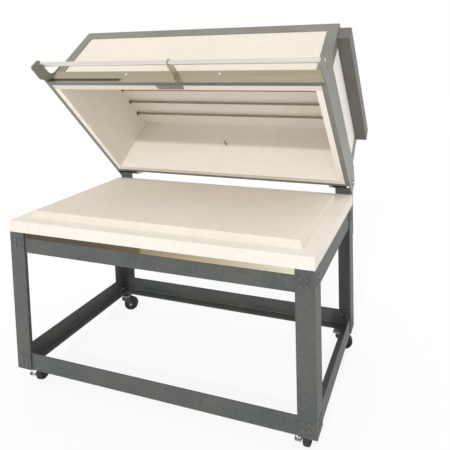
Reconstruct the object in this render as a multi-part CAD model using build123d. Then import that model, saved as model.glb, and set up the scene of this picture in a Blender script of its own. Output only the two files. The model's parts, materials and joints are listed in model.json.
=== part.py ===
from build123d import *
import math
import os

os.makedirs("parts", exist_ok=True)

# A clamshell kiln for fusing glass: a fibre board bed on a bolted angle steel stand with casters,
# and a deep fibre board lid that swings up on two side arms. Sizes are in millimetres.
# +X runs along the kiln to the right, +Y goes back, +Z is up.
# The origin is the centre of the firing bed's top face. The lid is modelled open, as it rests.

# Base slab and firing bed
slab_width = 1400.0
slab_depth = 724.0
slab_thickness = 50.0
bed_height = 28.0
bed_side_inset = 59.0
bed_front_inset = 51.0
bed_back_inset = 104.0
bed_bevel = 13.0
tray_thickness = 14.0

# Stand: equal angle for the legs, unequal angle for the rails
stand_height = 680.0
angle_flange = 76.0
rail_foot_flange = 50.0
angle_thickness = 5.0
angle_root_radius = 6.0
angle_toe_radius = 2.0
root_clearance = 1.0
trim_height = 24.0
trim_thickness = 2.0
trim_joint = -22.0
frame_bolt_radius = 4.0
frame_bolt_pitch = 26.0
frame_bolt_edge = 30.0
frame_bolt_drop = 21.0
bolt_head_height = 4.0
bolt_head_radius = 7.0
nut_height = 6.0
nut_radius = 7.5

# Lid: it stands in a little from the slab's edges
lid_side_inset = 11.0
lid_end_inset = 2.0
lid_height = 382.0
lid_wall = 45.0
roof_thickness = 50.0
lid_steel = 3.0
rim_flange = 76.0
rim_lip = 18.0
lid_angle_flange = 50.0
lid_open_angle = 49.5
closed_gap = 0.5

# Side arms, handle and hinge
arm_thickness = 6.0
arm_height = 127.0
nose_reach = 112.0
nose_height = 56.0
nose_drop = 15.0
nose_fillet = 36.0
nose_corner = 12.0
nose_shoulder = 4.0
arm_corner = 8.0
handle_radius = 11.0
handle_wall = 2.0
handle_forward = 90.0
handle_height = 31.0
bracket_side = 12.0
bracket_thickness = 5.0
bracket_foot = 40.0
bracket_loop = 5.0
rim_bolt_left = 264.0
rim_bolt_right = 214.0
rim_bolt_height = 53.0
hinge_back = 38.0
hinge_height = 50.0
shaft_radius = 12.5
shaft_overhang = 9.0
bush_wall = 3.5
bush_flange_thickness = 2.5
running_clearance = 0.05
ear_clearance = 0.5
shaft_chamfer = 1.5
side_clearance = 0.8
post_drop = 230.0

# Counterbalance springs on the hinge shaft
spring_wire = 10.0
spring_turns = 6
spring_turn_gap = 1.0
spring_mean_radius = 28.0
spring_tang = 70.0
spring_inset = 12.0
collar_length = 16.0
collar_chamfer = 2.0
spring_end_gap = 0.3

# Heating rods, temperature probe and the wiring channel
rod_count = 5
rod_radius = 6.0
rod_back = 150.0
rod_front = 162.0
rod_end_gap = 1.0
rod_drop = 14.0
rod_seat_depth = 12.0
rod_hole_clearance = 0.5
channel_width = 57.0
channel_height = 74.0
channel_top_drop = 25.0
channel_front_inset = 6.0
channel_back_inset = 20.0
channel_steel = 1.5
terminal_start = 8.0
terminal_length = 22.0
terminal_height = 26.0
terminal_chamfer = 3.0
probe_radius = 4.0
probe_reach = 36.0
probe_height = 186.0
probe_head_length = 30.0
probe_head_width = 28.0
probe_head_height = 22.0
probe_head_corner = 5.0
probe_side = -34.0
gland_radius = 11.0
gland_length = 26.0
gland_inside = 6.0
gland_bore = 6.0
gland_wall = 3.0
gland_collar = 9.0
gland_step = 1.0

# Rim plate let into the foot of the lid's front board
rim_plate_side = -19.0
rim_plate_width = 138.0
rim_plate_reach = 24.0
rim_plate_thickness = 2.0

# Casters
caster_inset_x = 60.0
caster_inset_y = 57.0
caster_drop = 95.0
wheel_radius = 37.5
wheel_width = 26.0
tread_radius = 6.0
hub_radius = 14.0
web_inner_radius = 20.0
web_outer_radius = 26.0
web_recess = 5.0
tyre_shoulder = 9.0
caster_plate_width = 62.0
caster_plate_corner = 6.0
caster_plate_thickness = 4.0
kingpin_radius = 6.0
kingpin_nut_radius = 9.0
kingpin_nut_height = 4.5
raceway_radius = 24.0
raceway_height = 9.0
fork_thickness = 3.0
fork_gap = 2.0
fork_crown_front = 20.0
fork_crown_drop = 14.0
fork_toe_width = 26.0
fork_toe_rise = 8.0
fork_toe_drop = 12.0
fork_toe_radius = 11.0
caster_trail = 24.0
axle_radius = 4.0
axle_nut_radius = 7.0
axle_nut_height = 5.0
caster_clearance = 0.4
lever_thickness = 3.0
lever_width = 12.0
lever_reach = 34.0
lever_tab_reach = 26.0
lever_tab_width = 14.0
lever_tab_lip = 12.0
lever_bend = 6.0

# How far a cut runs past the face that it opens
overrun = 1.0

# Levels and planes that follow from the sizes above
slab_top = -bed_height
slab_bottom = slab_top - slab_thickness
tray_bottom = slab_bottom - tray_thickness
leg_bottom = slab_top - stand_height
floor_level = leg_bottom - caster_drop
half_width = slab_width / 2
half_depth = slab_depth / 2
lid_width = slab_width - 2 * lid_side_inset
lid_depth = slab_depth - 2 * lid_end_inset
lid_half_width = lid_width / 2
lid_front = -lid_depth / 2
lid_back = lid_depth / 2
rim_level = slab_top + closed_gap
lid_top = rim_level + lid_height
roof_level = lid_top - roof_thickness
hinge_y = half_depth + hinge_back
hinge_z = rim_level + hinge_height
board_half_width = lid_half_width - lid_steel
inner_half_width = lid_half_width - lid_wall
inner_front = lid_front + lid_wall
inner_back = lid_back - lid_wall
rod_z = roof_level - rod_drop
rod_pitch = (lid_depth - rod_back - rod_front) / (rod_count - 1)


def save(shape, name):
    export_step(shape, f"parts/{name}.step")


def block(low, high):
    """A box between two opposite corners."""
    size = [high[i] - low[i] for i in range(3)]
    centre = [(high[i] + low[i]) / 2 for i in range(3)]
    return Pos(*centre) * Box(*size)


def cylinder_between(start, end, radius):
    """A round bar from one point to another."""
    axis = Vector(*end) - Vector(*start)
    plane = Plane(origin=start, z_dir=axis.normalized())
    return plane * Cylinder(radius, axis.length, align=(Align.CENTER, Align.CENTER, Align.MIN))


def extruded_outline(points, plane, length, fillets=()):
    """An outline drawn on a plane and extruded along its normal, with some corners rounded."""
    face = Sketch() + make_face(Polyline(*points, close=True))
    for corner, radius in fillets:
        vertex = min(face.vertices(), key=lambda v: (v.center() - Vector(*corner)).length)
        face = fillet(vertex, radius)
    return extrude(plane * face, amount=length)


def angle_bar(start, end, first_way, second_way, first_flange, second_flange, thickness, root, toe):
    """A steel angle with its heel on the line from start to end and its flanges along two ways."""
    along = Vector(*end) - Vector(*start)
    normal = Vector(*first_way).cross(Vector(*second_way))
    origin = start if normal.dot(along) > 0 else end
    plane = Plane(origin=origin, x_dir=first_way, z_dir=normal)
    points = [
        (0, 0),
        (first_flange, 0),
        (first_flange, thickness),
        (thickness, thickness),
        (thickness, second_flange),
        (0, second_flange),
    ]
    rounds = [((thickness, thickness), root)] if root else []
    if toe:
        rounds += [((first_flange, thickness), toe), ((thickness, second_flange), toe)]
    return extruded_outline(points, plane, along.length, rounds)


def stand_angle(start, end, first_way, second_way, first_flange=angle_flange, second_flange=angle_flange):
    return angle_bar(
        start,
        end,
        first_way,
        second_way,
        first_flange,
        second_flange,
        angle_thickness,
        angle_root_radius,
        angle_toe_radius,
    )


def open_lid(shape):
    """Swings a piece of the shut lid to the open angle at which the kiln rests."""
    return shape.rotate(Axis((0, hinge_y, hinge_z), (-1, 0, 0)), lid_open_angle)


# Base slab, firing bed and the tray board under them

def base_slab():
    return block((-half_width, -half_depth, slab_bottom), (half_width, half_depth, slab_top))


def firing_bed():
    """The raised board, which fits inside the lid's mouth and has bevelled edges."""
    low_x = half_width - bed_side_inset
    front = -half_depth + bed_front_inset
    back = half_depth - bed_back_inset
    centre_y = (front + back) / 2
    lower = Pos(0, centre_y, slab_top) * Rectangle(2 * low_x, back - front)
    upper_size = (2 * (low_x - bed_bevel), back - front - 2 * bed_bevel)
    upper = Pos(0, centre_y, 0) * Rectangle(*upper_size)
    return loft([lower.face(), upper.face()])


def bed_tray():
    """The stiff board that spans the stand and carries the slab."""
    inner_x = half_width - angle_thickness
    inner_y = half_depth - angle_thickness
    board = block((-inner_x, -inner_y, tray_bottom), (inner_x, inner_y, slab_bottom))
    return chamfer(board.edges().filter_by(Axis.Z), angle_root_radius + root_clearance)


# Stand of bolted angle

def joint_places(top):
    """The four bolts of a joint: distances in from the stand's corner, and levels."""
    if top:
        upper = tray_bottom - frame_bolt_drop
    else:
        upper = leg_bottom + frame_bolt_edge + frame_bolt_pitch
    insets = (frame_bolt_edge, frame_bolt_edge + frame_bolt_pitch)
    levels = (upper, upper - frame_bolt_pitch)
    return [(inset, z) for inset in insets for z in levels]


def frame_joints():
    """Every frame bolt's seat on the stand's outside, the way that it points and its grip.

    The bolts at the top of the back legs also go through the hinge posts."""
    joints = []
    grip = 2 * angle_thickness
    for side in (-1, 1):
        for end in (-1, 1):
            for top in (True, False):
                post = angle_thickness if top and end > 0 else 0
                for inset, z in joint_places(top):
                    seat = (side * (half_width - inset), end * (half_depth + post), z)
                    joints.append((seat, (0, end, 0), grip + post))
                    seat = (side * half_width, end * (half_depth - inset), z)
                    joints.append((seat, (side, 0, 0), grip))
    return joints


def drilled(shape):
    """Drills the frame's bolt holes through a leg, a rail or a hinge post."""
    box = shape.bounding_box()
    drills = []
    for place, way, grip in frame_joints():
        reach = grip + overrun
        near = all(low - reach < value < high + reach
                   for low, value, high in zip(tuple(box.min), place, tuple(box.max)))
        if near:
            outer = Vector(*place) + Vector(*way) * overrun
            inner = Vector(*place) - Vector(*way) * reach
            drills.append(cylinder_between(tuple(outer), tuple(inner), frame_bolt_radius))
    return shape - drills


def frame_bolts():
    """Round headed bolts through each joint's two flanges, with hexagon nuts inside."""
    bolts = []
    for place, way, grip in frame_joints():
        face = Vector(*place)
        out = Vector(*way)
        inside = face - out * grip
        head = Plane(origin=face, z_dir=out) * extrude(Circle(bolt_head_radius), bolt_head_height)
        rim = head.edges().group_by(Axis(face, out))[-1]
        head = chamfer(rim, bolt_head_height / 2)
        shank = cylinder_between(tuple(inside), tuple(face), frame_bolt_radius)
        nut = Plane(origin=inside, z_dir=-out) * extrude(RegularPolygon(nut_radius, 6), nut_height)
        bolts.append(head + shank + nut)
    return Compound(children=bolts)


def leg(side, end):
    """A corner leg, with its heel at the stand's outer corner."""
    x = side * half_width
    y = end * half_depth
    bar = stand_angle((x, y, leg_bottom), (x, y, slab_bottom), (-side, 0, 0), (0, -end, 0))
    return drilled(bar)


def long_rail(end, top):
    """A front or back rail, which lies inside the legs' flanges."""
    x = half_width - angle_thickness - angle_root_radius - root_clearance
    y = end * (half_depth - angle_thickness)
    z = tray_bottom if top else leg_bottom
    upright = (0, 0, -1) if top else (0, 0, 1)
    rail = stand_angle((-x, y, z), (x, y, z), upright, (0, -end, 0), angle_flange, rail_foot_flange)
    return drilled(rail)


def short_rail(side, top):
    """A side rail. Its foot flange is cut back at the ends to clear the front and back rails."""
    x = side * (half_width - angle_thickness)
    y = half_depth - angle_thickness - angle_root_radius - root_clearance
    z = tray_bottom if top else leg_bottom
    upright = (0, 0, -1) if top else (0, 0, 1)
    rail = stand_angle((x, -y, z), (x, y, z), upright, (-side, 0, 0), angle_flange, rail_foot_flange)
    cope = angle_thickness + angle_root_radius + root_clearance
    inner = half_depth - angle_thickness - rail_foot_flange
    for end in (-1, 1):
        corner = Pos(x, end * (inner + y + overrun) / 2, z)
        rail -= corner * Box(2 * (rail_foot_flange + overrun), y + overrun - inner, 2 * cope)
    return drilled(rail)


def front_trim(start, end):
    """A stainless strip between the front legs that covers the tray's edge."""
    y = -half_depth + angle_thickness
    return block((start, y - trim_thickness, slab_bottom - trim_height), (end, y, slab_bottom))


# Lid boards and steel frame, drawn shut

def wall_board(inner_length, across, outer, inner, along_x):
    """An upright lid board. Its foot is rebated for the steel lip, and its top carries the roof board."""
    lip = rim_lip - lid_steel
    way = 1 if inner > outer else -1
    points = [
        (outer + way * lip, rim_level),
        (inner, rim_level),
        (inner, roof_level),
        (outer, roof_level),
        (outer, rim_level + lid_steel),
        (outer + way * lip, rim_level + lid_steel),
    ]
    if along_x:
        plane = Plane(origin=(across - inner_length / 2, 0, 0), x_dir=(0, 1, 0), z_dir=(1, 0, 0))
    else:
        plane = Plane(origin=(0, across + inner_length / 2, 0), x_dir=(1, 0, 0), z_dir=(0, -1, 0))
    return extruded_outline(points, plane, inner_length)


def end_board(outer, inner):
    """The front or back board, whose ends are also rebated for the side rims' lips."""
    board = wall_board(2 * board_half_width, 0, outer, inner, True)
    for side in (-1, 1):
        low = (side * lid_half_width - rim_lip, -lid_back, rim_level - overrun)
        high = (side * lid_half_width + rim_lip, lid_back, rim_level + lid_steel)
        board -= block(low, high)
    return board


def lid_front_board():
    board = end_board(lid_front + lid_steel, inner_front)
    return board - rim_plate()


def lid_back_board():
    board = end_board(lid_back - lid_steel, inner_back)
    probe_level = rim_level + probe_height
    start = (probe_side, inner_back - overrun, probe_level)
    hole_radius = probe_radius + rod_hole_clearance
    return board - cylinder_between(start, (probe_side, lid_back, probe_level), hole_radius)


def rod_places():
    """The heating rods' places from back to front, in the shut lid."""
    return [lid_back - rod_back - i * rod_pitch for i in range(rod_count)]


def lid_side_board(side):
    """A side board, bored for the heating rods: blind on the left, through on the right."""
    board = wall_board(inner_back - inner_front, 0, side * board_half_width, side * inner_half_width, False)
    hole_radius = rod_radius + rod_hole_clearance
    inside = side * (inner_half_width - overrun)
    depth = rod_seat_depth if side < 0 else lid_wall
    outside = side * (inner_half_width + depth)
    for y in rod_places():
        board -= cylinder_between((inside, y, rod_z), (outside, y, rod_z), hole_radius)
    return board


def lid_roof_board():
    x = board_half_width
    return block((-x, lid_front + lid_steel, roof_level), (x, lid_back - lid_steel, lid_top - lid_steel))


def lid_angle(start, end, first_way, second_way, first_flange, second_flange):
    return angle_bar(start, end, first_way, second_way, first_flange, second_flange, lid_steel, 0, 0)


def rim_rail_long(end):
    """The front or back rim angle: a deep upright flange and a narrow lip under the board."""
    y = lid_front if end < 0 else lid_back
    start = (-lid_half_width, y, rim_level)
    stop = (lid_half_width, y, rim_level)
    return lid_angle(start, stop, (0, 0, 1), (0, -end, 0), rim_flange, rim_lip)


def rim_rail_short(side):
    y = lid_back - rim_lip
    x = side * lid_half_width
    rail = lid_angle((x, -y, rim_level), (x, y, rim_level), (0, 0, 1), (-side, 0, 0), rim_flange, rim_lip)
    for end in (-1, 1):
        ends = sorted((end * y, end * (lid_back - lid_steel)))
        xs = sorted((x, x - side * lid_steel))
        rail += block((xs[0], ends[0], rim_level + lid_steel), (xs[1], ends[1], rim_level + rim_flange))
    return rail


def top_rail_long(end):
    y = lid_front if end < 0 else lid_back
    start = (-lid_half_width, y, lid_top)
    stop = (lid_half_width, y, lid_top)
    return lid_angle(start, stop, (0, 0, -1), (0, -end, 0), lid_angle_flange, lid_angle_flange)


def top_rail_short(side):
    flange = lid_angle_flange
    y = lid_back - flange
    x = side * lid_half_width
    rail = lid_angle((x, -y, lid_top), (x, y, lid_top), (0, 0, -1), (-side, 0, 0), flange, flange)
    for end in (-1, 1):
        ends = sorted((end * y, end * (lid_back - lid_steel)))
        xs = sorted((x, x - side * lid_steel))
        rail += block((xs[0], ends[0], lid_top - lid_angle_flange), (xs[1], ends[1], lid_top - lid_steel))
    return rail


def corner_post(side, end):
    x = side * lid_half_width
    y = lid_front if end < 0 else lid_back
    low = rim_level + rim_flange
    high = lid_top - lid_angle_flange
    flange = lid_angle_flange
    return lid_angle((x, y, low), (x, y, high), (-side, 0, 0), (0, -end, 0), flange, flange)


def rim_plate():
    """The small steel plate let into the middle of the front board's foot."""
    x = rim_plate_width / 2
    y = lid_front + rim_lip
    low = (rim_plate_side - x, y, rim_level)
    plate = block(low, (rim_plate_side + x, y + rim_plate_reach, rim_level + rim_plate_thickness))
    return chamfer(plate.edges().filter_by(Axis.Z).sort_by(Axis.Y)[-2:], rim_plate_reach / 3)


# Side arms, handle, bracket and hinge

def on_axis(side, outer, inner, radius):
    """A round bar on the hinge axis, between two distances from the kiln's middle."""
    return cylinder_between((side * outer, hinge_y, hinge_z), (side * inner, hinge_y, hinge_z), radius)


def side_arm(side):
    """A flat arm along the lid's side, from the hinge shaft to the nose that holds the handle."""
    front = lid_front - nose_reach
    low = rim_level
    back = hinge_y + hinge_back
    top = rim_level + arm_height
    shoulder = lid_front - nose_shoulder
    foot = low - nose_drop
    points = [
        (front, foot),
        (lid_front - nose_reach / 3, foot),
        (lid_front - nose_drop, low),
        (back, low),
        (back, hinge_z + hinge_back),
        (hinge_y - hinge_back, top),
        (shoulder, top),
        (shoulder, foot + nose_height),
        (front, foot + nose_height),
    ]
    rounds = [
        ((shoulder, foot + nose_height), nose_fillet),
        ((shoulder, top), arm_corner),
        ((front, foot), nose_corner),
        ((front, foot + nose_height), nose_corner),
        ((back, low), hinge_back / 2),
        ((back, hinge_z + hinge_back), hinge_back / 2),
    ]
    outside = side * lid_half_width if side > 0 else -lid_half_width - arm_thickness
    plane = Plane(origin=(outside, 0, 0), x_dir=(0, 1, 0), z_dir=(1, 0, 0))
    arm = extruded_outline(points, plane, arm_thickness, rounds)
    reach = lid_half_width + arm_thickness + overrun
    return arm - on_axis(side, reach, lid_half_width - overrun, shaft_radius)


def handle_place():
    return lid_front - handle_forward, rim_level + handle_height


def handle_bar():
    """The tube that is gripped to lift the lid."""
    y, z = handle_place()
    x = lid_half_width
    outer = cylinder_between((-x, y, z), (x, y, z), handle_radius)
    end = x + overrun
    return outer - cylinder_between((-end, y, z), (end, y, z), handle_radius - handle_wall)


def lid_bolts():
    """The lid's screws: one through each arm into the handle tube, and two in the front rim."""
    y, z = handle_place()
    bolts = []
    for side in (-1, 1):
        face = Plane(origin=(side * (lid_half_width + arm_thickness), y, z), z_dir=(side, 0, 0))
        bolts.append(face * extrude(RegularPolygon(handle_radius - handle_wall, 6), bolt_head_height))
    for x in (-rim_bolt_left, rim_bolt_right):
        face = Plane(origin=(x, lid_front, rim_level + rim_bolt_height), z_dir=(0, -1, 0))
        head = extrude(Circle(bolt_head_radius), bolt_head_height)
        bolts.append(face * chamfer(head.edges().sort_by(Axis.Z)[-1], bolt_head_height / 2))
    return Compound(children=bolts)


def handle_bracket():
    """The plate that steadies the middle of the handle. Its round nose holds the tube."""
    y, z = handle_place()
    outer = handle_radius + bracket_loop
    low = z - outer
    points = [
        (y, low),
        (lid_front, low),
        (lid_front, low + bracket_foot),
        (y, z + outer),
    ]
    face = Sketch() + make_face(Polyline(*points, close=True)) + Pos(y, z) * Circle(outer)
    plane = Plane(origin=(bracket_side - bracket_thickness / 2, 0, 0), x_dir=(0, 1, 0), z_dir=(1, 0, 0))
    plate = extrude(plane * face, amount=bracket_thickness)
    reach = bracket_thickness
    tube = cylinder_between((bracket_side - reach, y, z), (bracket_side + reach, y, z), handle_radius)
    return plate - tube


def hinge_shaft():
    """The shaft is keyed in both side arms and turns with the lid."""
    x = lid_half_width + arm_thickness + shaft_overhang
    bar = cylinder_between((-x, hinge_y, hinge_z), (x, hinge_y, hinge_z), shaft_radius)
    return chamfer(bar.edges().filter_by(GeomType.CIRCLE), shaft_chamfer)


def post_outer_x():
    return lid_half_width - side_clearance


def hinge_post(side):
    """An upright of angle bolted behind the back leg. Its side flange ends in a round ear for the shaft."""
    outer = post_outer_x()
    inner = outer - angle_thickness
    x = side * outer
    low = hinge_z - hinge_height - post_drop
    post = stand_angle((x, half_depth, low), (x, half_depth, hinge_z), (-side, 0, 0), (0, 1, 0))
    shoulder = hinge_z - shaft_radius - angle_root_radius
    xs = sorted((side * (outer + overrun), side * (outer - angle_flange - overrun)))
    back = half_depth + angle_flange + overrun
    post -= block((xs[0], half_depth - overrun, shoulder), (xs[1], back, hinge_z + overrun))
    ear_radius = hinge_back - ear_clearance
    post += on_axis(side, outer, inner, ear_radius)
    xs = sorted((x, side * inner))
    low = (xs[0], hinge_y - ear_radius, shoulder - ear_radius)
    post += block(low, (xs[1], hinge_y + ear_radius, hinge_z))
    hole = shaft_radius + running_clearance + bush_wall
    post -= on_axis(side, outer + overrun, inner - overrun, hole)
    return drilled(post)


def hinge_bush(side):
    """A flanged bronze bush in the post's ear."""
    outer = post_outer_x()
    inner = outer - angle_thickness
    bore = shaft_radius + running_clearance
    flange_face = inner - bush_flange_thickness
    body = on_axis(side, outer, inner, bore + bush_wall)
    flange = on_axis(side, inner, flange_face, bore + 2 * bush_wall)
    return body + flange - on_axis(side, outer + overrun, flange_face - overrun, bore)


def spring_start():
    return post_outer_x() - angle_thickness - bush_flange_thickness - spring_inset


def spring_length():
    return (spring_turns + 1) * (spring_wire + spring_turn_gap)


def balance_spring(side):
    """A torsion spring round the shaft. It takes the lid's weight, and its straight end bears on the post."""
    pitch = spring_wire + spring_turn_gap
    path = Helix(pitch=pitch, height=spring_turns * pitch, radius=spring_mean_radius)
    section = Plane(origin=path @ 0, z_dir=path % 0) * Circle(spring_wire / 2)
    coil = sweep(section, path=path, is_frenet=True)
    tang = extrude(section, amount=-spring_tang)
    start = spring_start() - spring_wire / 2
    plane = Plane(origin=(start, hinge_y, hinge_z), x_dir=(0, -1, 0), z_dir=(-1, 0, 0))
    spring = plane * (coil + tang)
    return spring if side > 0 else spring.mirror(Plane.YZ)


def spring_collar(side):
    """The collar that is pinned to the shaft and takes the spring's inner end."""
    start = spring_start() - spring_length() - spring_end_gap
    end = start - collar_length
    ring = on_axis(side, start, end, spring_mean_radius + spring_wire / 2)
    ring -= on_axis(side, start, end, shaft_radius)
    return chamfer(ring.edges().filter_by(GeomType.CIRCLE).group_by(SortBy.RADIUS)[-1], collar_chamfer)


# Heating rods, probe and wiring channel

def heating_rod(y):
    """A sheathed heating rod that spans the lid under its roof, with its terminal end on the right."""
    left = -inner_half_width - rod_seat_depth + rod_end_gap
    right = lid_half_width + terminal_start
    return cylinder_between((left, y, rod_z), (right, y, rod_z), rod_radius)


def terminal_blocks():
    """Ceramic terminals, one on the end of each rod, inside the wiring channel."""
    blocks = []
    start = lid_half_width + terminal_start
    for y in rod_places():
        low = (start, y - terminal_height / 2, rod_z - terminal_height / 2)
        high = (start + terminal_length, y + terminal_height / 2, rod_z + terminal_height / 2)
        blocks.append(chamfer(block(low, high).edges().filter_by(Axis.X), terminal_chamfer))
    return Compound(children=blocks)


def channel_box():
    low = (lid_half_width, lid_front + channel_front_inset, lid_top - channel_top_drop - channel_height)
    high = (lid_half_width + channel_width, lid_back - channel_back_inset, lid_top - channel_top_drop)
    return low, high


def wiring_channel():
    """The folded steel channel on the lid's right side. It is open towards the lid."""
    low, high = channel_box()
    t = channel_steel
    hollow_low = (low[0] - overrun, low[1] + t, low[2] + t)
    hollow = block(hollow_low, (high[0] - t, high[1] - t, high[2] - t))
    shell = block(low, high)
    shell = fillet(shell.edges().filter_by(Axis.Y).sort_by(Axis.X)[-2:], 2 * t)
    x, z = gland_place()
    neck = gland_radius - gland_wall
    hole = cylinder_between((x, high[1] - 2 * t, z), (x, high[1] + overrun, z), neck)
    return shell - hollow - hole


def gland_place():
    low, high = channel_box()
    return low[0] + channel_width / 2, (low[2] + high[2]) / 2


def cable_gland():
    """The gland in the channel's back end, where the supply cable enters."""
    x, z = gland_place()
    back = channel_box()[1][1]
    neck = gland_radius - gland_wall
    dome = gland_radius - gland_step
    profile = [
        (gland_bore, -gland_inside),
        (neck, -gland_inside),
        (neck, 0),
        (gland_radius, 0),
        (gland_radius, gland_collar),
        (dome, gland_collar + gland_wall),
        (dome, gland_length - gland_wall),
        (neck, gland_length),
        (gland_bore, gland_length),
    ]
    body = revolve(Plane.XZ * (Sketch() + make_face(Polyline(*profile, close=True))), Axis.Z)
    return Plane(origin=(x, back, z), z_dir=(0, 1, 0)) * body


def temperature_probe():
    """A sheathed thermocouple through the back board, with its connector head outside."""
    z = rim_level + probe_height
    start = (probe_side, inner_back - probe_reach, z)
    end = (probe_side, lid_back - lid_steel, z)
    sheath = cylinder_between(start, end, probe_radius)
    half_head = probe_head_width / 2
    half_height = probe_head_height / 2
    face = lid_back - lid_steel
    low = (probe_side - half_head, face, z - half_height)
    head = block(low, (probe_side + half_head, face + probe_head_length, z + half_height))
    return sheath + fillet(head.edges().filter_by(Axis.Y), probe_head_corner)


# Casters

def caster_place(side, end):
    return side * (half_width - caster_inset_x), end * (half_depth - caster_inset_y)


def fork_top():
    return leg_bottom - caster_plate_thickness


def axle_level():
    return floor_level + wheel_radius


def caster_plate(side, end):
    """The mounting plate under the corner, with the kingpin and nut that the fork swivels on."""
    x, y = caster_place(side, end)
    middle = leg_bottom - caster_plate_thickness / 2
    plate = Pos(x, y, middle) * Box(caster_plate_width, caster_plate_width, caster_plate_thickness)
    plate = fillet(plate.edges().filter_by(Axis.Z), caster_plate_corner)
    nut_top = fork_top() - raceway_height - fork_thickness - 2 * caster_clearance
    pin = cylinder_between((x, y, fork_top()), (x, y, nut_top), kingpin_radius)
    nut_plane = Plane(origin=(x, y, nut_top), z_dir=(0, 0, -1))
    nut = nut_plane * extrude(RegularPolygon(kingpin_nut_radius, 6), kingpin_nut_height)
    return plate + pin + nut


def caster_fork(side, end, yaw):
    """The pressed swivel fork: a dished crown and two cheeks that reach to the axle."""
    x, y = caster_place(side, end)
    crown_top = fork_top() - caster_clearance
    crown_low = crown_top - raceway_height
    cheek = wheel_width / 2 + fork_gap
    level = axle_level()
    toe_front = caster_trail + fork_toe_width / 2
    toe_back = caster_trail - fork_toe_width / 2
    toe_low = level - fork_toe_drop
    profile = [
        (-raceway_radius, crown_low),
        (fork_crown_front, crown_low),
        (toe_front, level + fork_toe_rise),
        (toe_front, toe_low),
        (toe_back, toe_low),
        (toe_back, level + fork_toe_rise),
        (-raceway_radius, crown_low - fork_crown_drop),
    ]
    rounds = [((toe_front, toe_low), fork_toe_radius), ((toe_back, toe_low), fork_toe_radius)]
    outer = cheek + fork_thickness
    fork = cylinder_between((0, 0, crown_top), (0, 0, crown_low), raceway_radius)
    fork = chamfer(fork.edges().filter_by(GeomType.CIRCLE).sort_by(Axis.Z)[-1], fork_thickness)
    fork += block((-raceway_radius, -outer, crown_low - fork_thickness), (fork_crown_front, outer, crown_low))
    for face in (outer, -cheek):
        plane = Plane(origin=(0, face, 0), x_dir=(1, 0, 0), z_dir=(0, -1, 0))
        fork += extruded_outline(profile, plane, fork_thickness, rounds)
    bore = kingpin_radius + running_clearance
    fork -= cylinder_between((0, 0, crown_top + overrun), (0, 0, crown_low - 2 * fork_thickness), bore)
    reach = outer + overrun
    fork -= cylinder_between((caster_trail, -reach, level), (caster_trail, reach, level), axle_radius)
    return Pos(x, y, 0) * Rot(0, 0, yaw) * fork


def caster_wheel(side, end, yaw):
    """A wheel with a rounded rubber tread, a recessed web and a hub."""
    x, y = caster_place(side, end)
    half = wheel_width / 2
    web = half - web_recess
    bore = axle_radius + running_clearance
    half_outline = [
        (bore, half),
        (hub_radius, half),
        (web_inner_radius, web),
        (web_outer_radius, web),
        (wheel_radius - tyre_shoulder, half),
        (wheel_radius, half),
    ]
    outline = [(radius, -height) for radius, height in half_outline] + half_outline[::-1]
    face = Sketch() + make_face(Polyline(*outline, close=True))
    for height in (-half, half):
        corner = Vector(wheel_radius, height)
        vertex = min(face.vertices(), key=lambda v: (v.center() - corner).length)
        face = fillet(vertex, tread_radius)
    wheel = revolve(Plane.XZ * face, Axis.Z)
    turned = Plane(origin=(caster_trail, 0, axle_level()), z_dir=(0, 1, 0)) * wheel
    return Pos(x, y, 0) * Rot(0, 0, yaw) * turned


def axle_reach(braked):
    """How far the axle bolt's seats lie from the fork's middle, at the plain and the braked side."""
    plain = wheel_width / 2 + fork_gap + fork_thickness
    return plain, plain + lever_thickness + 2 * caster_clearance if braked else plain


def caster_axle(side, end, yaw):
    """The axle bolt, with its head and nut outside the fork's cheeks and the brake lever."""
    x, y = caster_place(side, end)
    level = axle_level()
    plain, braked = axle_reach(end < 0)
    axle = cylinder_between((caster_trail, -plain, level), (caster_trail, braked, level), axle_radius)
    for way, reach in ((-1, plain), (1, braked)):
        plane = Plane(origin=(caster_trail, way * reach, level), z_dir=(0, way, 0))
        axle += plane * extrude(RegularPolygon(axle_nut_radius, 6), axle_nut_height)
    return Pos(x, y, 0) * Rot(0, 0, yaw) * axle


def brake_lever(side, end, yaw):
    """A flat lever on the axle bolt, with a foot tab that is turned out and curled up."""
    x, y = caster_place(side, end)
    level = axle_level()
    inner = axle_reach(True)[1] - caster_clearance - lever_thickness
    half = lever_width / 2
    tip = caster_trail - lever_reach
    points = [
        (caster_trail, level - half),
        (caster_trail, level + half),
        (tip, level + lever_thickness),
        (tip, level - half),
    ]
    plane = Plane(origin=(0, inner + lever_thickness, 0), x_dir=(1, 0, 0), z_dir=(0, -1, 0))
    face = Sketch() + make_face(Polyline(*points, close=True)) + Pos(caster_trail, level) * Circle(half)
    lever = extrude(plane * face, amount=lever_thickness)
    bore = axle_radius + running_clearance
    outer = inner + lever_thickness + overrun
    lever -= cylinder_between((caster_trail, inner - overrun, level), (caster_trail, outer, level), bore)
    foot = level - half
    end_y = inner + lever_tab_reach
    curl = [
        (inner, foot),
        (end_y, foot),
        (end_y, foot + lever_tab_lip),
        (end_y - lever_thickness, foot + lever_tab_lip),
        (end_y - lever_thickness, foot + lever_thickness),
        (inner, foot + lever_thickness),
    ]
    rounds = [
        ((end_y, foot), lever_bend),
        ((end_y - lever_thickness, foot + lever_thickness), lever_bend - lever_thickness),
    ]
    side_plane = Plane(origin=(tip, 0, 0), x_dir=(0, 1, 0), z_dir=(1, 0, 0))
    lever += extruded_outline(curl, side_plane, lever_tab_width, rounds)
    return Pos(x, y, 0) * Rot(0, 0, yaw) * lever


# Each caster's place and the way that it trails in the photograph, as a turn about its kingpin
CASTERS = {
    "front_left": (-1, -1, 100.0),
    "front_right": (1, -1, 90.0),
    "back_left": (-1, 1, 25.0),
    "back_right": (1, 1, 15.0),
}
SIDES = {"left": -1, "right": 1}
ENDS = {"front": -1, "back": 1}


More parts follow.
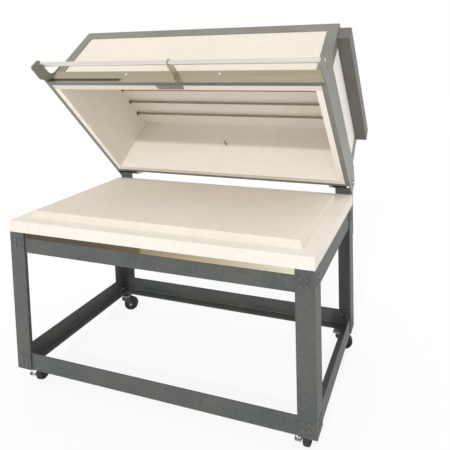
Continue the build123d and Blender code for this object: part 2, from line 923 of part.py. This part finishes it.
def save_stand():
    save(base_slab(), "base_slab")
    save(firing_bed(), "firing_bed")
    save(bed_tray(), "bed_tray")
    trim_end = half_width - angle_flange
    save(front_trim(-trim_end, trim_joint), "trim_strip_left")
    save(front_trim(trim_joint, trim_end), "trim_strip_right")
    for end_name, end in ENDS.items():
        for side_name, side in SIDES.items():
            save(leg(side, end), f"leg_{end_name}_{side_name}")
        save(long_rail(end, True), f"top_rail_{end_name}")
        save(long_rail(end, False), f"bottom_rail_{end_name}")
    for side_name, side in SIDES.items():
        save(short_rail(side, True), f"top_rail_{side_name}")
        save(short_rail(side, False), f"bottom_rail_{side_name}")
        save(hinge_post(side), f"hinge_post_{side_name}")
    save(frame_bolts(), "frame_bolts")
    save(Compound(children=[hinge_bush(side) for side in (-1, 1)]), "hinge_bushes")
    save(Compound(children=[balance_spring(side) for side in (-1, 1)]), "balance_springs")


def save_lid():
    save(open_lid(lid_front_board()), "lid_front_board")
    save(open_lid(lid_back_board()), "lid_back_board")
    save(open_lid(lid_roof_board()), "lid_roof_board")
    for end_name, end in ENDS.items():
        save(open_lid(rim_rail_long(end)), f"lid_rim_{end_name}")
    for side_name, side in SIDES.items():
        save(open_lid(lid_side_board(side)), f"lid_{side_name}_board")
        save(open_lid(rim_rail_short(side)), f"lid_rim_{side_name}")
        save(open_lid(side_arm(side)), f"side_arm_{side_name}")
    frame = [top_rail_long(end) for end in (-1, 1)]
    frame += [top_rail_short(side) for side in (-1, 1)]
    frame += [corner_post(side, end) for side in (-1, 1) for end in (-1, 1)]
    save(Compound(children=[open_lid(bar) for bar in frame]), "lid_top_frame")
    save(Compound(children=[open_lid(spring_collar(side)) for side in (-1, 1)]), "spring_collars")
    save(open_lid(rim_plate()), "rim_plate")
    save(open_lid(handle_bar()), "handle_bar")
    save(open_lid(lid_bolts()), "lid_bolts")
    save(open_lid(handle_bracket()), "handle_bracket")
    save(open_lid(hinge_shaft()), "hinge_shaft")
    save(Compound(children=[open_lid(heating_rod(y)) for y in rod_places()]), "heating_rods")
    save(open_lid(terminal_blocks()), "terminal_blocks")
    save(open_lid(wiring_channel()), "wiring_channel")
    save(open_lid(cable_gland()), "cable_gland")
    save(open_lid(temperature_probe()), "temperature_probe")


def save_casters():
    plates = [caster_plate(side, end) for side, end, yaw in CASTERS.values()]
    save(Compound(children=plates), "caster_plates")
    for name, (side, end, yaw) in CASTERS.items():
        save(caster_fork(side, end, yaw), f"caster_fork_{name}")
        save(caster_wheel(side, end, yaw), f"caster_wheel_{name}")
        save(caster_axle(side, end, yaw), f"caster_axle_{name}")
        if end < 0:
            save(brake_lever(side, end, yaw), f"brake_lever_{name}")


save_stand()
save_lid()
save_casters()
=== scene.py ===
import bpy
import json
import math
from mathutils import Matrix, Vector


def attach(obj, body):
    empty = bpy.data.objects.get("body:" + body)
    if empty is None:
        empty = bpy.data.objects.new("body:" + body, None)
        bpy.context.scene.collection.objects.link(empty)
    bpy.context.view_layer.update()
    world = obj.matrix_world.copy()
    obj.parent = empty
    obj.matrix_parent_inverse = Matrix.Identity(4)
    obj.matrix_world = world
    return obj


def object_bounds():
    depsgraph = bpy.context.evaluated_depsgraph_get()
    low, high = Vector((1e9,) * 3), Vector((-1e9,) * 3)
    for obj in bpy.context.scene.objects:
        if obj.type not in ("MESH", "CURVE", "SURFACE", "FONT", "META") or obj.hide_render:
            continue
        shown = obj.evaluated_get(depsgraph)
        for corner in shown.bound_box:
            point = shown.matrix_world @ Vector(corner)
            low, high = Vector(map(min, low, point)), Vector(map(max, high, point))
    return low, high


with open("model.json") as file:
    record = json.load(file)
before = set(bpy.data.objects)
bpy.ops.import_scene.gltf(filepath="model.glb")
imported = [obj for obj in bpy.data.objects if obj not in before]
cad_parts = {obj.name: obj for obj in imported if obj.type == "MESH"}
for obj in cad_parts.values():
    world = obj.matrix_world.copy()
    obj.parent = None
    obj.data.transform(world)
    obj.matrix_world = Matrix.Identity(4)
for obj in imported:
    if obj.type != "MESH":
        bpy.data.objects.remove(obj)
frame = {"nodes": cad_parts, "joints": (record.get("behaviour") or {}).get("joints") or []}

# The size of the kiln as it was built. Its lowest point sets the floor.
built_low, built_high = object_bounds()

# Camera.
# It stands in front of the kiln and to the right, a little above the open lid's rim, and is
# nearly level. The photograph is a crop from a wider view, so the lens is shifted down. The
# focal length and the point that the lens looks at are in pixels of the picture.
bpy.ops.object.camera_add(location=(1.1084, -1.8266, 0.6764))
camera = bpy.context.object
camera.name = "kiln_camera"
look_around, look_up, lean = -0.3053, -0.066, -0.0186
forward = Vector((math.sin(look_around) * math.cos(look_up),
                  math.cos(look_around) * math.cos(look_up),
                  math.sin(look_up)))
sideways = forward.cross(Vector((0, 0, 1))).normalized()
upward = sideways.cross(forward)
right = math.cos(lean) * sideways + math.sin(lean) * upward
top = math.cos(lean) * upward - math.sin(lean) * sideways
camera.rotation_mode = "QUATERNION"
camera.rotation_quaternion = Matrix((right, top, -forward)).transposed().to_quaternion()
sensor_width = 36.0
picture_size = 450
focal_length = 447.9
centre_across, centre_down = 297.0, 85.0
camera.data.sensor_width = sensor_width
camera.data.lens = sensor_width * focal_length / picture_size
camera.data.shift_x = (picture_size / 2 - centre_across) / picture_size
camera.data.shift_y = (centre_down - picture_size / 2) / picture_size
camera.data.clip_end = 100
bpy.context.scene.camera = camera

# Light.
# One lamp far in front and above, whose light comes in under the lid and leaves the shadow of
# its front edge on the back wall, and an even white surrounding that fills the rest.
bpy.ops.object.light_add(type="SUN", location=(0, -4, 3))
lamp = bpy.context.object
lamp.name = "front_lamp"
lamp.rotation_euler = (math.radians(57), 0, math.radians(3))
lamp.data.energy = 0.95
lamp.data.angle = math.radians(2.5)
lamp.data.color = (1.0, 0.985, 0.96)

world = bpy.data.worlds.new("white_surrounding")
bpy.context.scene.world = world
world.use_nodes = True
sky = world.node_tree
sky.nodes.clear()
sky_out = sky.nodes.new("ShaderNodeOutputWorld")
sky_mix = sky.nodes.new("ShaderNodeMixShader")
fill = sky.nodes.new("ShaderNodeBackground")
fill.inputs["Color"].default_value = (1.0, 1.0, 1.0, 1.0)
fill.inputs["Strength"].default_value = 1.0
white = sky.nodes.new("ShaderNodeBackground")
white.inputs["Color"].default_value = (1.0, 1.0, 1.0, 1.0)
white.inputs["Strength"].default_value = 1.0
ray = sky.nodes.new("ShaderNodeLightPath")
seen = sky.nodes.new("ShaderNodeMath")
seen.operation = "MAXIMUM"
sky.links.new(ray.outputs["Is Camera Ray"], seen.inputs[0])
sky.links.new(ray.outputs["Is Transmission Ray"], seen.inputs[1])
sky.links.new(seen.outputs[0], sky_mix.inputs[0])
sky.links.new(fill.outputs[0], sky_mix.inputs[1])
sky.links.new(white.outputs[0], sky_mix.inputs[2])
sky.links.new(sky_mix.outputs[0], sky_out.inputs["Surface"])
bpy.context.scene.view_settings.view_transform = "Standard"

# Floor.
# A white studio floor. The camera sees it nearly white, and it keeps a faint shadow.
bpy.ops.object.select_all(action="DESELECT")
bpy.ops.mesh.primitive_plane_add(size=30, location=(0, 0, built_low.z - 0.0005))
floor = bpy.context.object
floor.name = "studio_floor"
floor_white = bpy.data.materials.new("floor_white")
floor_white.use_nodes = True
tree = floor_white.node_tree
tree.nodes.clear()
floor_out = tree.nodes.new("ShaderNodeOutputMaterial")
floor_mix = tree.nodes.new("ShaderNodeMixShader")
paper = tree.nodes.new("ShaderNodeBsdfDiffuse")
paper.inputs["Color"].default_value = (0.93, 0.93, 0.93, 1)
glow = tree.nodes.new("ShaderNodeEmission")
glow.inputs["Strength"].default_value = 1.0
ray = tree.nodes.new("ShaderNodeLightPath")
part_seen = tree.nodes.new("ShaderNodeMath")
part_seen.operation = "MULTIPLY"
part_seen.inputs[1].default_value = 0.85
tree.links.new(ray.outputs["Is Camera Ray"], part_seen.inputs[0])
tree.links.new(part_seen.outputs[0], floor_mix.inputs[0])
tree.links.new(paper.outputs[0], floor_mix.inputs[1])
tree.links.new(glow.outputs[0], floor_mix.inputs[2])
tree.links.new(floor_mix.outputs[0], floor_out.inputs["Surface"])
floor.data.materials.append(floor_white)


# Fibre boards.
# The slab, the firing bed and the lid's walls and roof are vacuum formed ceramic fibre board:
# cream, matt, softly mottled, with a fine felted face that browns a little where it is fired.
def group_socket(group, name, way, kind, value=None):
    socket = group.interface.new_socket(name=name, in_out=way, socket_type=kind)
    if value is not None:
        socket.default_value = value
    return socket


def make_mottle():
    """Two sizes of cloud over a surface, as one number from 0 to 1."""
    group = bpy.data.node_groups.new("mottle", "ShaderNodeTree")
    group_socket(group, "Scale", "INPUT", "NodeSocketFloat", 4.0)
    group_socket(group, "Fine share", "INPUT", "NodeSocketFloat", 0.35)
    group_socket(group, "Value", "OUTPUT", "NodeSocketFloat")
    nodes, links = group.nodes, group.links
    entry, leave = nodes.new("NodeGroupInput"), nodes.new("NodeGroupOutput")
    place = nodes.new("ShaderNodeTexCoord")
    broad, fine = nodes.new("ShaderNodeTexNoise"), nodes.new("ShaderNodeTexNoise")
    broad.inputs["Detail"].default_value = 4
    fine.inputs["Detail"].default_value = 6
    finer = nodes.new("ShaderNodeMath")
    finer.operation = "MULTIPLY"
    finer.inputs[1].default_value = 13
    mix = nodes.new("ShaderNodeMix")
    links.new(place.outputs["Object"], broad.inputs["Vector"])
    links.new(place.outputs["Object"], fine.inputs["Vector"])
    links.new(entry.outputs["Scale"], broad.inputs["Scale"])
    links.new(entry.outputs["Scale"], finer.inputs[0])
    links.new(finer.outputs[0], fine.inputs["Scale"])
    links.new(entry.outputs["Fine share"], mix.inputs[0])
    links.new(broad.outputs["Fac"], mix.inputs[2])
    links.new(fine.outputs["Fac"], mix.inputs[3])
    links.new(mix.outputs[0], leave.inputs["Value"])
    return group


def make_grain():
    """A fine grain raised on the surface, which can be drawn out along one axis."""
    group = bpy.data.node_groups.new("grain", "ShaderNodeTree")
    group_socket(group, "Scale", "INPUT", "NodeSocketVector", (300, 300, 300))
    group_socket(group, "Strength", "INPUT", "NodeSocketFloat", 0.2)
    group_socket(group, "Depth", "INPUT", "NodeSocketFloat", 0.0005)
    group_socket(group, "Value", "OUTPUT", "NodeSocketFloat")
    group_socket(group, "Normal", "OUTPUT", "NodeSocketVector")
    nodes, links = group.nodes, group.links
    entry, leave = nodes.new("NodeGroupInput"), nodes.new("NodeGroupOutput")
    place, turn = nodes.new("ShaderNodeTexCoord"), nodes.new("ShaderNodeMapping")
    noise, bump = nodes.new("ShaderNodeTexNoise"), nodes.new("ShaderNodeBump")
    noise.inputs["Scale"].default_value = 1
    noise.inputs["Detail"].default_value = 5
    links.new(place.outputs["Object"], turn.inputs["Vector"])
    links.new(entry.outputs["Scale"], turn.inputs["Scale"])
    links.new(turn.outputs[0], noise.inputs["Vector"])
    links.new(noise.outputs["Fac"], bump.inputs["Height"])
    links.new(noise.outputs["Fac"], leave.inputs["Value"])
    links.new(entry.outputs["Strength"], bump.inputs["Strength"])
    links.new(entry.outputs["Depth"], bump.inputs["Distance"])
    links.new(bump.outputs["Normal"], leave.inputs["Normal"])
    return group


mottle = make_mottle()
grain = make_grain()


class Finish:
    """A material with one main shader, and the nodes that are hung on it."""

    def __init__(self, name, roughness, metallic=0.0):
        self.material = bpy.data.materials.new(name)
        self.material.use_nodes = True
        self.tree = self.material.node_tree
        self.shader = self.tree.nodes["Principled BSDF"]
        self.shader.inputs["Roughness"].default_value = roughness
        self.shader.inputs["Metallic"].default_value = metallic

    def node(self, kind, **settings):
        made = self.tree.nodes.new(kind)
        for key, value in settings.items():
            setattr(made, key, value)
        return made

    def link(self, start, end):
        self.tree.links.new(start, end)

    def clouds(self, scale, fine=0.35):
        made = self.node("ShaderNodeGroup", node_tree=mottle)
        made.inputs["Scale"].default_value = scale
        made.inputs["Fine share"].default_value = fine
        return made.outputs["Value"]

    def colours(self, value, stops):
        """A ramp from places to colours, driven by a value."""
        ramp = self.node("ShaderNodeValToRGB")
        ramp.color_ramp.elements[0].position = stops[0][0]
        ramp.color_ramp.elements[0].color = (*stops[0][1], 1)
        ramp.color_ramp.elements[1].position = stops[-1][0]
        ramp.color_ramp.elements[1].color = (*stops[-1][1], 1)
        for place, colour in stops[1:-1]:
            stop = ramp.color_ramp.elements.new(place)
            stop.color = (*colour, 1)
        self.link(value, ramp.inputs["Fac"])
        return ramp.outputs["Color"]

    def two_tone(self, value, dark, light, low=0.3, high=0.7):
        """Paints the surface from a dark colour to a light one, driven by a value."""
        self.paint(self.colours(value, [(low, dark), (high, light)]))

    def spread(self, value, low, high, new_low, new_high, socket=None):
        """A value stretched from one range to another."""
        made = self.node("ShaderNodeMapRange")
        for place, number in zip((1, 2, 3, 4), (low, high, new_low, new_high)):
            made.inputs[place].default_value = number
        self.link(value, made.inputs[0])
        if socket is not None:
            self.link(made.outputs[0], socket)
        return made.outputs[0]

    def raise_grain(self, scale, strength, depth):
        made = self.node("ShaderNodeGroup", node_tree=grain)
        made.inputs["Scale"].default_value = scale
        made.inputs["Strength"].default_value = strength
        made.inputs["Depth"].default_value = depth
        self.link(made.outputs["Normal"], self.shader.inputs["Normal"])
        return made.outputs["Value"]

    def mixed(self, factor, first, second):
        """Two colours mixed by a mask. Each colour is a socket or three numbers."""
        made = self.node("ShaderNodeMix", data_type="RGBA")
        self.link(factor, made.inputs[0])
        for place, colour in ((6, first), (7, second)):
            if isinstance(colour, tuple):
                made.inputs[place].default_value = (*colour, 1)
            else:
                self.link(colour, made.inputs[place])
        return made.outputs[2]

    def paint(self, colour):
        self.link(colour, self.shader.inputs["Base Color"])

    def put_on(self, *names):
        for name in names:
            mesh = frame["nodes"][name].data
            mesh.materials.clear()
            mesh.materials.append(self.material)


def fibre(name, light, dark, grain_strength=0.35):
    made = Finish(name, 0.95)
    made.shader.inputs["Specular IOR Level"].default_value = 0.12
    made.paint(made.colours(made.clouds(2.2, 0.4), [(0.30, dark), (0.70, light)]))
    made.raise_grain((170, 170, 170), grain_strength, 0.0008)
    return made


fibre("slab_board", (0.83, 0.785, 0.715), (0.74, 0.69, 0.61)).put_on("base_slab")
fibre("bed_board", (0.80, 0.735, 0.65), (0.71, 0.64, 0.55)).put_on("firing_bed")
fibre("lid_outer_board", (0.90, 0.85, 0.775), (0.84, 0.785, 0.71)).put_on(
    "lid_back_board", "lid_left_board", "lid_right_board", "lid_roof_board")
# Painted shade: the lid's front board is the same fibre board as its other boards, drawn darker for
# how light falls on it.
fibre("lid_front_board_painted_shade", (0.76, 0.70, 0.61), (0.70, 0.64, 0.55)).put_on("lid_front_board")
fibre("tray_board", (0.42, 0.40, 0.36), (0.33, 0.31, 0.28)).put_on("bed_tray")

# Stand.
# Legs and rails of rolled steel angle with a sprayed dark grey paint. The paint is thin over
# the mill scale, a little rough, and greyer where dust lies on it.
stand_paint = Finish("stand_paint", 0.5)
stand_paint.shader.inputs["Specular IOR Level"].default_value = 0.45
clouds = stand_paint.clouds(5.0, 0.5)
stand_paint.two_tone(clouds, (0.052, 0.062, 0.060), (0.100, 0.104, 0.092), 0.32, 0.68)
stand_paint.spread(clouds, 0.3, 0.7, 0.42, 0.62, stand_paint.shader.inputs["Roughness"])
stand_paint.raise_grain((420, 420, 420), 0.25, 0.0004)
steel_names = [f"leg_{e}_{s}" for e in ("front", "back") for s in ("left", "right")]
steel_names += [f"{level}_rail_{place}" for level in ("top", "bottom")
                for place in ("front", "back", "left", "right")]
stand_paint.put_on(*steel_names, "hinge_post_left", "hinge_post_right")

# Bolts, shaft and springs.
# Zinc plated caster plates, axle bolts and brake levers, and the ground shaft of the hinge. The
# lid's screws are polished, the frame's bolts are painted over and the springs are blackened.
zinc = Finish("zinc_plate", 0.34, 1.0)
clouds = zinc.clouds(24.0, 0.5)
zinc.two_tone(clouds, (0.42, 0.43, 0.44), (0.62, 0.62, 0.60))
zinc.spread(clouds, 0.3, 0.7, 0.26, 0.44, zinc.shader.inputs["Roughness"])
zinc.raise_grain((900, 900, 900), 0.12, 0.0002)
zinc.put_on("caster_plates", "hinge_shaft", "spring_collars")

polished = Finish("polished_bolt", 0.16, 1.0)
clouds = polished.clouds(90.0, 0.5)
polished.two_tone(clouds, (0.70, 0.69, 0.66), (0.86, 0.85, 0.82))
polished.spread(clouds, 0.3, 0.7, 0.12, 0.24, polished.shader.inputs["Roughness"])
polished.raise_grain((900, 900, 900), 0.06, 0.0001)
polished.put_on("lid_bolts")
zinc.put_on(*[name for name in frame["nodes"] if name.startswith(("caster_axle", "brake_lever"))])

painted_bolt = Finish("painted_bolt", 0.45, 0.2)
clouds = painted_bolt.clouds(60.0, 0.5)
painted_bolt.two_tone(clouds, (0.075, 0.08, 0.078), (0.15, 0.15, 0.14), 0.35, 0.65)
painted_bolt.spread(clouds, 0.3, 0.7, 0.36, 0.55, painted_bolt.shader.inputs["Roughness"])
painted_bolt.raise_grain((900, 900, 900), 0.15, 0.0002)
painted_bolt.put_on("frame_bolts")

spring_steel = Finish("spring_steel", 0.4, 0.9)
clouds = spring_steel.clouds(30.0, 0.5)
spring_steel.two_tone(clouds, (0.05, 0.05, 0.055), (0.12, 0.115, 0.11))
spring_steel.raise_grain((700, 700, 700), 0.15, 0.0002)
spring_steel.put_on("balance_springs")

bronze = Finish("bush_bronze", 0.38, 1.0)
bronze.two_tone(bronze.clouds(40.0), (0.42, 0.27, 0.13), (0.60, 0.42, 0.22))
bronze.raise_grain((900, 900, 900), 0.1, 0.0002)
bronze.put_on("hinge_bushes")

# Casters.
# Black pressed forks and moulded rubber wheels. The wheels' grey plastic hubs get no finish of
# their own.
fork_black = Finish("fork_black", 0.42)
fork_black.two_tone(fork_black.clouds(30.0), (0.030, 0.030, 0.033), (0.060, 0.060, 0.062))
fork_black.raise_grain((600, 600, 600), 0.2, 0.0003)
fork_black.put_on(*[name for name in frame["nodes"] if name.startswith("caster_fork")])

rubber = Finish("wheel_rubber", 0.72)
rubber.two_tone(rubber.clouds(40.0), (0.018, 0.018, 0.019), (0.040, 0.038, 0.036))
rubber.raise_grain((900, 900, 900), 0.3, 0.0003)
rubber.put_on(*[name for name in frame["nodes"] if name.startswith("caster_wheel")])


# Lid frame.
# Grey painted sheet steel round the top, the corners and the sides, over the fibre boards.
def lid_paint(name, dark, light, rough):
    made = Finish(name, rough)
    clouds = made.clouds(6.0, 0.45)
    made.paint(made.colours(clouds, [(0.32, dark), (0.68, light)]))
    made.spread(clouds, 0.3, 0.7, rough - 0.08, rough + 0.1, made.shader.inputs["Roughness"])
    made.raise_grain((450, 450, 450), 0.2, 0.0003)
    return made


warm_grey = lid_paint("lid_frame_paint", (0.165, 0.16, 0.135), (0.225, 0.217, 0.185), 0.45)
warm_grey.put_on("lid_top_frame", "lid_rim_back", "lid_rim_left", "lid_rim_right")
arm_grey = lid_paint("arm_paint", (0.175, 0.17, 0.145), (0.24, 0.23, 0.195), 0.42)
arm_grey.put_on("side_arm_left", "side_arm_right")
# Painted shade: the wiring channel has the frame's grey paint, drawn much darker for the shade on
# its side.
lid_paint("channel_painted_shade", (0.105, 0.095, 0.085), (0.15, 0.135, 0.12), 0.5).put_on("wiring_channel")


# Front rim, rim plate and handle.
# Brushed stainless steel, which the heat of firing has tinted straw and brown. The front rim's dark
# brown streak and its bluish grey lip are painted reflections.
def brushed(name, dark, light, rough):
    made = Finish(name, rough, 0.85)
    streaks = made.raise_grain((3, 900, 900), 0.12, 0.0002)
    made.paint(made.colours(streaks, [(0.3, dark), (0.7, light)]))
    made.spread(streaks, 0.3, 0.7, rough - 0.06, rough + 0.08, made.shader.inputs["Roughness"])
    return made


# Places on the lid, in metres from the hinge line: along the kiln, forward and up, lid shut.
hinge = next(j for j in frame["joints"] if j["name"] == "lid_hinge")
lid_turn = math.radians(49.5)
hinge_at = Vector(hinge["pos_m"])


def lid_place(finish):
    """The three coordinates of a point as if the lid were shut, with the hinge line at zero."""
    place = finish.node("ShaderNodeTexCoord")
    back = finish.node("ShaderNodeMapping", vector_type="TEXTURE")
    back.inputs["Location"].default_value = hinge_at
    back.inputs["Rotation"].default_value = (-lid_turn, 0, 0)
    finish.link(place.outputs["Object"], back.inputs["Vector"])
    parts = finish.node("ShaderNodeSeparateXYZ")
    finish.link(back.outputs[0], parts.inputs[0])
    return parts.outputs


def band(finish, value, start, end, soft):
    """1 between two places and 0 outside them, with soft edges."""
    rise = finish.spread(value, start - soft, start + soft, 0, 1)
    fall = finish.spread(value, end - soft, end + soft, 1, 0)
    both = finish.node("ShaderNodeMath", operation="MULTIPLY")
    finish.link(rise, both.inputs[0])
    finish.link(fall, both.inputs[1])
    return both.outputs[0]


def both_of(finish, first, second):
    made = finish.node("ShaderNodeMath", operation="MULTIPLY")
    finish.link(first, made.inputs[0])
    finish.link(second, made.inputs[1])
    return made.outputs[0]


front_rim = Finish("tinted_rim", 0.34, 0.75)
streaks = front_rim.raise_grain((3, 900, 900), 0.10, 0.0002)
tan = front_rim.colours(streaks, [(0.3, (0.34, 0.30, 0.21)), (0.7, (0.46, 0.41, 0.30))])
x, y, z = lid_place(front_rim)
# Painted reflection: a dark brown streak low on the left part of the front rim stands in for a dark
# reflection.
painted_dark_reflection = both_of(front_rim,
                band(front_rim, z, -0.040, -0.022, 0.004),
                band(front_rim, x, -0.70, -0.275, 0.012))
tan = front_rim.mixed(painted_dark_reflection, tan, (0.055, 0.045, 0.035))
# Painted reflection: the lip at the bottom of the front rim is coloured bluish grey for the
# reflection it shows.
painted_reflection_lip = front_rim.spread(z, -0.0485, -0.0475, 1, 0)
front_rim.paint(front_rim.mixed(painted_reflection_lip, tan, (0.20, 0.21, 0.215)))
front_rim.spread(streaks, 0.3, 0.7, 0.32, 0.46, front_rim.shader.inputs["Roughness"])
front_rim.put_on("lid_rim_front")

brushed("rim_plate_steel", (0.25, 0.24, 0.20), (0.36, 0.34, 0.29), 0.42).put_on("rim_plate")
brushed("bracket_steel", (0.42, 0.38, 0.30), (0.56, 0.52, 0.42), 0.36).put_on("handle_bracket")
brushed("handle_steel", (0.62, 0.59, 0.53), (0.80, 0.77, 0.70), 0.20).put_on("handle_bar")

# Trim strips under the slab.
# Thin stainless strip in two lengths. Its colour along the kiln is painted light: the left length
# is dark brown painted shadow, and the right one goes from straw to almost white as a painted
# reflection.
trim = Finish("trim_painted_shadow_and_reflection", 0.34, 0.6)
streaks = trim.raise_grain((3, 900, 900), 0.10, 0.0002)
place = trim.node("ShaderNodeTexCoord")
parts = trim.node("ShaderNodeSeparateXYZ")
trim.link(place.outputs["Object"], parts.inputs[0])
along = trim.spread(parts.outputs["X"], -0.624, 0.624, 0, 1)
# Painted shadow on the left length and painted reflection on the right one, set along the strip.
painted_shadow_and_reflection = trim.colours(along, [
    (0.0, (0.07, 0.052, 0.035)),
    (0.30, (0.10, 0.07, 0.045)),
    (0.478, (0.14, 0.10, 0.06)),
    (0.486, (0.30, 0.23, 0.14)),
    (0.75, (0.50, 0.42, 0.29)),
    (1.0, (0.78, 0.72, 0.58)),
])
worn = trim.mixed(streaks, (0.55, 0.55, 0.55), (1.25, 1.25, 1.25))
blend = trim.node("ShaderNodeMix", data_type="RGBA", blend_type="MULTIPLY")
blend.inputs[0].default_value = 1
trim.link(painted_shadow_and_reflection, blend.inputs[6])
trim.link(worn, blend.inputs[7])
trim.paint(blend.outputs[2])
trim.put_on("trim_strip_left", "trim_strip_right")

# Heating rods and temperature probe.
# Metal sheaths that have oxidised brown in the heat.
sheath = Finish("oxidised_sheath", 0.62, 0.35)
sheath.two_tone(sheath.clouds(20.0, 0.6), (0.28, 0.22, 0.165), (0.42, 0.345, 0.265))
sheath.raise_grain((500, 900, 900), 0.25, 0.0003)
sheath.put_on("heating_rods", "temperature_probe")

# Rod collars.
# Dark oxidised collars with rounded edges, one where each rod meets each side wall. Their places
# are those of the shut lid, in metres, turned up with the lid about its hinge.
collar_steel = Finish("collar_steel", 0.6, 0.4)
collar_steel.two_tone(collar_steel.clouds(60.0), (0.035, 0.028, 0.022), (0.085, 0.066, 0.05))
collar_steel.raise_grain((900, 900, 900), 0.2, 0.0002)
wall_inside = 0.644
rod_level = 0.2905
rod_first = 0.210
rod_step = 0.102
rod_count = 5
collar_radius = 0.0105
collar_depth = 0.004
collar_bevel = 0.0009
wall_gap = 0.0001
for number in range(rod_count):
    for side, side_name in ((-1, "left"), (1, "right")):
        bpy.ops.object.select_all(action="DESELECT")
        bpy.ops.mesh.primitive_cylinder_add(vertices=40, radius=collar_radius, depth=collar_depth,
                                            location=(0, 0, 0),
                                            rotation=(0, -side * math.pi / 2, 0))
        collar = bpy.context.object
        collar.name = f"rod_collar_{side_name}_{number + 1}"
        bpy.ops.object.transform_apply(location=False, rotation=True, scale=False)
        bpy.ops.object.mode_set(mode="EDIT")
        bpy.ops.mesh.select_all(action="SELECT")
        bpy.ops.mesh.bevel(offset=collar_bevel, segments=3)
        bpy.ops.object.mode_set(mode="OBJECT")
        from_middle = wall_inside - collar_depth / 2 - wall_gap
        shut = Vector((side * from_middle, rod_first - number * rod_step, rod_level))
        collar.location = hinge_at + Matrix.Rotation(-lid_turn, 3, "X") @ (shut - hinge_at)
        collar.rotation_euler = (-lid_turn, 0, 0)
        bpy.ops.object.transform_apply(location=True, rotation=True, scale=False)
        bpy.ops.object.shade_smooth_by_angle(angle=math.radians(35))
        collar.data.materials.append(collar_steel.material)
        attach(collar, "lid")

# Terminals and cable gland.
# White porcelain terminals inside the wiring channel, and a black nylon gland in its back end.
porcelain = Finish("terminal_porcelain", 0.35)
porcelain.two_tone(porcelain.clouds(30.0), (0.66, 0.63, 0.57), (0.78, 0.76, 0.71))
porcelain.raise_grain((600, 600, 600), 0.1, 0.0002)
porcelain.put_on("terminal_blocks")

black_nylon = Finish("gland_nylon", 0.5)
black_nylon.two_tone(black_nylon.clouds(40.0), (0.018, 0.018, 0.02), (0.035, 0.035, 0.037))
black_nylon.raise_grain((900, 900, 900), 0.2, 0.0002)
black_nylon.put_on("cable_gland")
